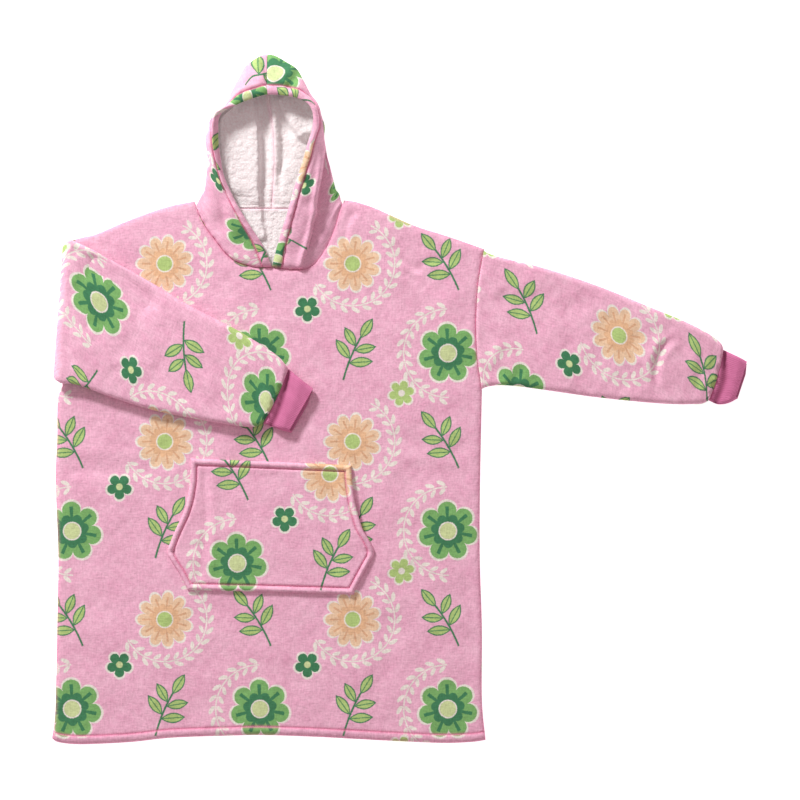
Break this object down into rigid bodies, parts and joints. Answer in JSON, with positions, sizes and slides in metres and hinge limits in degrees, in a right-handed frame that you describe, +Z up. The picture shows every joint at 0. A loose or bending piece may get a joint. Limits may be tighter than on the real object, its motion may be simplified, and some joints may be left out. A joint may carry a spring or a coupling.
{
  "type": "oversized hoodie",
  "caption": "Oversized hooded fleece pullover laid out flat, with a front pocket, ribbed cuffs, a lined hood and one sleeve folded over the front.",
  "frame": {"origin": "on the floor under the middle of the laid-out garment's box", "axes": "+X to the wearer's left, +Y from the hem to the hood, +Z up from the floor, through the garment's layers"},
  "size_m": [1.3212, 1.3109, 0.0483],
  "materials": {
    "printed_fleece": "brushed pile with an all-over print",
    "sherpa_pile": "curly pile",
    "rib_knit": "fine rib knit"
  },
  "bodies": {
    "root": {"back_panel": "printed_fleece", "front_panel": "printed_fleece", "left_sleeve": "printed_fleece", "right_sleeve": "printed_fleece", "left_cuff": "rib_knit", "right_cuff": "rib_knit", "pocket": "printed_fleece", "left_hood": "printed_fleece", "right_hood": "printed_fleece", "left_hood_lining": "sherpa_pile", "right_hood_lining": "sherpa_pile", "back_lining": "sherpa_pile"}
  },
  "joints": []
}
